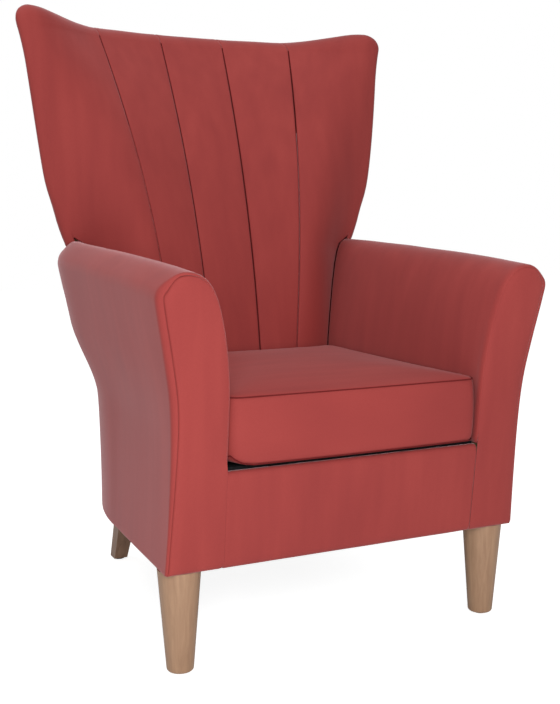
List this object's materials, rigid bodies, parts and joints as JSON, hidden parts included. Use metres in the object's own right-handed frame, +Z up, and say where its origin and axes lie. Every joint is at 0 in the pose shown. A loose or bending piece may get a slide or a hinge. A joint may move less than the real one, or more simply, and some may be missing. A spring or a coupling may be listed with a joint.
{
  "type": "fireside chair",
  "caption": "Upholstered fireside chair with a flared, fan-fluted wing back, outward-leaning arms, a loose seat cushion and short tapered legs.",
  "frame": {"origin": "on the floor under the middle of the chair's bounding box", "axes": "the chair faces -Y, +Z is up, and +X is to the right of someone who stands in front of it"},
  "size_m": [0.777, 0.8264, 1.12],
  "materials": {
    "cover": "brick-red velvet with a soft nap",
    "foam": "upholstery foam",
    "felt": "grey needled felt",
    "black_cloth": "plain black cloth",
    "front_legs": "satin pale beech",
    "rear_legs": "satin beech, a shade darker",
    "frame_timber": "planed beech",
    "plywood": "bare plywood",
    "steel": "zinc-plated steel",
    "glides": "black nylon",
    "zip": "dark red zip"
  },
  "bodies": {
    "chair": {"front_seat_rail": "frame_timber", "rear_seat_rail": "frame_timber", "side_seat_rail_left": "frame_timber", "side_seat_rail_right": "frame_timber", "front_post_left": "plywood", "front_post_right": "plywood", "back_post_left": "frame_timber", "back_post_right": "frame_timber", "arm_rail_left": "frame_timber", "arm_rail_right": "frame_timber", "arm_stump_left": "frame_timber", "arm_stump_right": "frame_timber", "crest_rail": "frame_timber", "lumbar_rail": "frame_timber", "wing_board_left": "plywood", "wing_board_right": "plywood", "leg_plates": "plywood", "frame_dowels": "frame_timber", "front_leg_left": "front_legs", "front_leg_right": "front_legs", "rear_leg_left": "rear_legs", "rear_leg_right": "rear_legs", "leg_bolts": "steel", "leg_nuts": "steel", "leg_glides": "glides", "seat_springs": "steel", "spring_clips": "steel", "spring_pad": "felt", "platform_cover": "black_cloth", "back_webbing": "black_cloth", "back_foam": "foam", "arm_board_left": "plywood", "arm_board_right": "plywood", "arm_foam_left": "foam", "arm_foam_right": "foam", "wing_flute_left": "cover", "inner_flute_left": "cover", "centre_flute": "cover", "inner_flute_right": "cover", "wing_flute_right": "cover", "back_edge_roll": "cover", "outside_back": "cover", "outside_wing_left": "cover", "outside_wing_right": "cover", "inside_arm_left": "cover", "inside_arm_right": "cover", "outside_arm_left": "cover", "outside_arm_right": "cover", "arm_facing_left": "cover", "arm_facing_right": "cover", "front_border": "cover", "dust_cover": "black_cloth"},
    "seat_cushion": {"cushion_cover": "cover", "cushion_foam": "foam", "cushion_zip": "zip"}
  },
  "joints": [
    {"name": "cushion_lift", "type": "slide", "parent": "chair", "child": "seat_cushion", "axis": [0, 0, 1], "range_m": [0, 0.2]}
  ]
}
